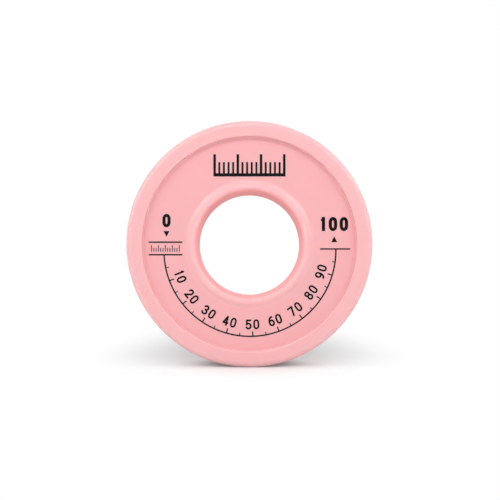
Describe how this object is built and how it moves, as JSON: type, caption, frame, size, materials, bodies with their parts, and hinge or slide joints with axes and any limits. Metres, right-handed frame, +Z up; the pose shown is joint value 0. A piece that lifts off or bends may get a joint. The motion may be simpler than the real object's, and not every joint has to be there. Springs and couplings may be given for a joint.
{
  "type": "thread seal tape roll",
  "caption": "Round moulded tape roll: a recessed cover with a raised rim and bored hub, holding a flanged reel of thin white tape that turns on the hub and pulls out from the back.",
  "frame": {"origin": "middle of the bore, half-way between the front rim and the rear edge; the floor the roll stands on is one outer radius below it", "axes": "+Y along the roll's axis from the printed front face to the open back, +Z up, +X to the right seen from the front"},
  "size_m": [0.053, 0.016, 0.053],
  "materials": {
    "cover_plastic": "satin moulded pink",
    "reel_plastic": "satin moulded pink",
    "tape": "soft matte white film"
  },
  "bodies": {
    "cover": {"cover": "cover_plastic"},
    "outer_turn": {"tape_outer_turn": "tape"},
    "reel": {"reel": "reel_plastic", "tape_pack": "tape"}
  },
  "joints": [
    {"name": "reel_pull", "type": "slide", "parent": "cover", "child": "outer_turn", "axis": [0, 1, 0], "range_m": [0, 0.024]},
    {"name": "reel_spin", "type": "hinge", "parent": "outer_turn", "child": "reel", "pos_m": [0, 0, 0], "axis": [0, 1, 0], "continuous": true}
  ]
}
